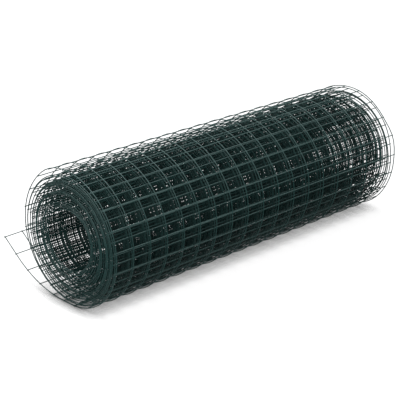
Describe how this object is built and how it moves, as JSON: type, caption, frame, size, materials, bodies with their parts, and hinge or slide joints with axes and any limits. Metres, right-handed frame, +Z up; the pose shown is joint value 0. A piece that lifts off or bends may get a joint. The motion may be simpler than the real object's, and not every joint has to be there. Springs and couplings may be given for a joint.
{
  "type": "roll of welded wire fencing",
  "caption": "Roll of green coated welded wire mesh fencing lying on its side, open through the middle, with its turns showing at both ends and a loose end rising behind.",
  "frame": {"origin": "centre of the box of the roll and its loose end, on the floor that the roll lies on", "axes": "+X along the roll, which is 900 mm high mesh, towards its slimmer end; +Y towards the loose end; +Z up"},
  "size_m": [0.9106, 0.4048, 0.328],
  "materials": {
    "coated_wire": "dark green plastic coating on steel wire, slightly glossy"
  },
  "bodies": {
    "root": {"fencing_roll": "coated_wire"}
  },
  "joints": []
}
